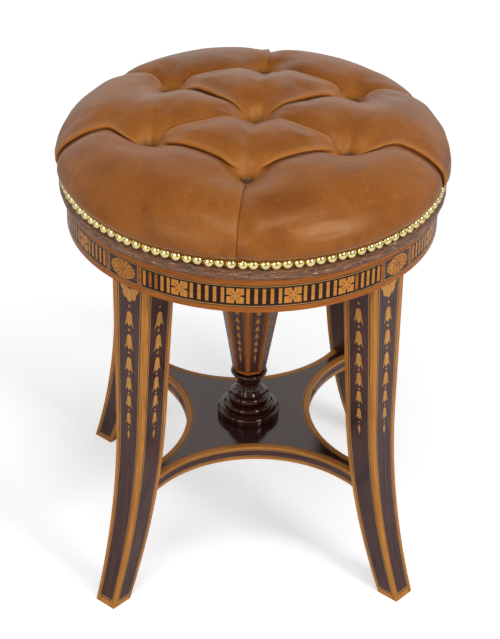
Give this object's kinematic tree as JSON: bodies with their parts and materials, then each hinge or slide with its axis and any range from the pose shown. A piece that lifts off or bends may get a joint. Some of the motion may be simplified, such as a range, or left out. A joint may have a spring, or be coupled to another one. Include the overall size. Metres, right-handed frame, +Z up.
{
  "type": "piano stool",
  "caption": "Round piano stool with a tufted leather seat on a turning lift screw, edged with brass nails, over an inlaid frieze, swept square legs, a scooped platform and a faceted column",
  "frame": {"origin": "Middle of the footprint on the floor, on the lift screw's axis", "axes": "+Z is up, -Y is the front as pictured and +X is to the right seen from the front"},
  "size_m": [0.3818, 0.3816, 0.478],
  "materials": {
    "mahogany": "french polished",
    "beech": "planed, unpolished",
    "stained_rim": "worn dark stain",
    "leather": "soft, rubbed",
    "stuffing": "hair in hessian",
    "twine": "waxed linen",
    "brass": "polished",
    "iron": "blackened",
    "steel": "oiled"
  },
  "bodies": {
    "base": {"leg_front_left": "mahogany", "leg_front_right": "mahogany", "leg_back_right": "mahogany", "leg_back_left": "mahogany", "frieze_front": "mahogany", "frieze_right": "mahogany", "frieze_back": "mahogany", "frieze_left": "mahogany", "platform": "mahogany", "column": "mahogany", "column_socle": "mahogany", "cross_rail_lower": "beech", "cross_rail_upper": "beech", "screw_nut": "iron", "nut_screws": "steel", "platform_dowels": "beech"},
    "washer": {"leather_washer": "leather"},
    "seat": {"seat_leather": "leather", "seat_stuffing": "stuffing", "seat_board": "beech", "seat_rim": "stained_rim", "tuft_buttons": "leather", "tufting_twine": "twine", "brass_nails": "brass", "seat_plate": "iron", "plate_screws": "steel", "lift_screw": "steel", "stop_collar": "iron", "stop_pin": "steel"}
  },
  "joints": [
    {"name": "seat_turn", "type": "hinge", "parent": "base", "child": "washer", "pos_m": [0, 0, 0.388], "axis": [0, 0, 1], "range_deg": [0, 4050]},
    {"name": "seat_rise", "type": "slide", "parent": "washer", "child": "seat", "axis": [0, 0, 1], "range_m": [0, 0.09]}
  ],
  "couplings": [
    {"joint": "seat_rise", "follows": "seat_turn", "m_per_rad": 0.0012732}
  ]
}
